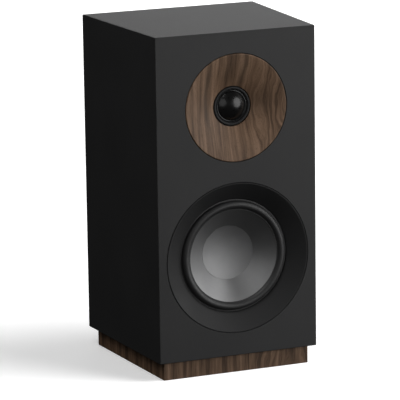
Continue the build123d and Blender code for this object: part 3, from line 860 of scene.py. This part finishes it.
def crowned(point, low, high):
    """The point drawn in towards the pad's middle, more so near its edges, with small lumps."""
    middle = (low + high) / 2
    offset = point - middle
    near_edge = [abs(2 * offset[a] / (high[a] - low[a])) ** PAD_SQUARENESS for a in range(3)]
    pull = [1 - PAD_TUCK * (sum(near_edge) - near_edge[a]) for a in range(3)]
    drawn = Vector([middle[a] + offset[a] * pull[a] for a in range(3)])
    lump = noise.fractal(drawn * PAD_LUMP_SCALE, 1.0, 2.0, 3) * PAD_LUMP * MM
    return drawn + (middle - drawn).normalized() * (PAD_INSET * MM + lump)


def puffed_pad(name, low, high):
    """A crowned pad of loose fibre between two corners."""
    size = high - low
    counts = [max(3, round(side / (PAD_CELL * MM))) for side in size]
    vertices = []
    faces = []
    index = {}

    def vertex(key):
        if key not in index:
            index[key] = len(vertices)
            point = Vector([low[a] + size[a] * key[a] / counts[a] for a in range(3)])
            vertices.append(crowned(point, low, high))
        return index[key]

    for axis in range(3):
        u, v = (axis + 1) % 3, (axis + 2) % 3
        for end in (0, counts[axis]):
            for a in range(counts[u]):
                for b in range(counts[v]):
                    loop = []
                    for da, db in ((0, 0), (1, 0), (1, 1), (0, 1)):
                        key = [0, 0, 0]
                        key[axis], key[u], key[v] = end, a + da, b + db
                        loop.append(vertex(tuple(key)))
                    faces.append(loop if end else loop[::-1])
    made = finish_mesh(name, vertices, faces, sharp_degrees=80)
    point_outwards(made)
    return made


def islands(node):
    """The boxes of a CAD node's separate solids."""
    mesh = nodes[node].data
    parent = list(range(len(mesh.vertices)))

    def root(i):
        while parent[i] != i:
            parent[i] = parent[parent[i]]
            i = parent[i]
        return i

    spots = {}
    for v in mesh.vertices:
        key = tuple(round(c, 6) for c in v.co)
        parent[v.index] = spots.setdefault(key, v.index)
    for edge in mesh.edges:
        a, b = (root(i) for i in edge.vertices)
        parent[a] = b
    groups = {}
    for v in mesh.vertices:
        groups.setdefault(root(v.index), []).append(v.co)
    boxes = []
    for points in groups.values():
        low = Vector([min(p[a] for p in points) for a in range(3)])
        high = Vector([max(p[a] for p in points) for a in range(3)])
        boxes.append((low, high))
    return sorted(boxes, key=lambda pair: tuple(pair[0]))


def wadding():
    """One pad for each block of wadding in the cabinet."""
    for number, (low, high) in enumerate(islands("acoustic_wadding")):
        pad = puffed_pad(f"wadding_pad_{number}", low, high)
        dress(pad, "wadding_fibre", "acoustic_wadding")
        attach(pad, "cabinet")


wadding()


# ---------------------------------------------------------------- floor and light

# Distances and sizes are in metres and angles in degrees.
FLOOR_HALF = 14.0
FLOOR_GLOW = 0.33
FLOOR_SUN_PLACE = (58, 50)
FLOOR_SUN_POWER = 3.05
FLOOR_SUN_WIDTH = 40
LIGHT_DISTANCE = 2.4
ROOM_LIGHT = 0.012


def add_floor():
    """A pale floor, bright enough that only the shadow beside the speaker shows on it."""
    s = Shader(
        "pale_floor", Roughness=0.9, Emission_Color=(1, 1, 1, 1), Emission_Strength=FLOOR_GLOW)
    broad = s.noise(s.place(), scale=1.5, detail=2)
    s.colour(s.shade(broad, (0.88, 0.88, 0.88), (0.92, 0.92, 0.92)))
    half = FLOOR_HALF
    corners = [(-half, -half, 0), (half, -half, 0), (half, half, 0), (-half, half, 0)]
    floor = finish_mesh("floor", corners, [(0, 1, 2, 3)])
    floor.data.materials.append(s.material)
    floor.visible_diffuse = False
    floor.visible_glossy = False
    return floor


def add_light(name, kind, azimuth, elevation, **settings):
    """A light that faces the speaker, in degrees round it and above its middle."""
    direction = direction_to(azimuth, elevation)
    data = bpy.data.lights.new(name, kind)
    for key, value in settings.items():
        setattr(data, key, value)
    light = bpy.data.objects.new(name, data)
    light.location = (cad_box[0] + cad_box[1]) / 2 + direction * LIGHT_DISTANCE
    light.rotation_mode = "QUATERNION"
    light.rotation_quaternion = direction.to_track_quat("Z", "Y")
    light.visible_camera = False
    bpy.context.scene.collection.objects.link(light)
    return light


def add_softbox(name, azimuth, elevation, size, watts, shaded=()):
    """A round soft light; the shaded objects stand behind a flag that hides it from them."""
    light = add_light(name, "AREA", azimuth, elevation, shape="DISK", size=size, energy=watts)
    if shaded:
        flag = bpy.data.collections.new(name + "_flag")
        for piece in shaded:
            flag.objects.link(piece)
        light.light_linking.receiver_collection = flag
        for entry in flag.collection_objects:
            entry.light_linking.link_state = "EXCLUDE"


def add_floor_sun(floor):
    """Broad light on the floor alone, for the soft shadow on the speaker's left."""
    width = math.radians(FLOOR_SUN_WIDTH)
    sun = add_light("floor_sun", "SUN", *FLOOR_SUN_PLACE, energy=FLOOR_SUN_POWER, angle=width)
    only_floor = bpy.data.collections.new("floor_sun_receivers")
    only_floor.objects.link(floor)
    sun.light_linking.receiver_collection = only_floor


add_floor_sun(add_floor())
add_softbox("key", 44, 8, size=1.8, watts=14.5)
add_softbox("key_wide", 54, -4, size=1.8, watts=6.0, shaded=dome_pieces)
add_softbox("front_fill", 16, 4, size=1.5, watts=4.8, shaded=dome_pieces)
add_softbox("left_fill", -34, 15, size=1.6, watts=3.4)
add_softbox("side_right", 90, 10, size=1.4, watts=16)
add_softbox("upper_right", 60, 35, size=1.4, watts=7, shaded=dome_pieces)
add_softbox("upper_left", -60, 60, size=1.4, watts=16)
add_softbox("side_left", -100, 45, size=1.4, watts=5.5)
add_softbox("behind", 152, 9, size=1.5, watts=9.5)
bpy.context.scene.world = bpy.data.worlds.new("studio")
bpy.context.scene.world.color = (ROOM_LIGHT, ROOM_LIGHT, ROOM_LIGHT)
bpy.context.scene.view_settings.view_transform = "Standard"
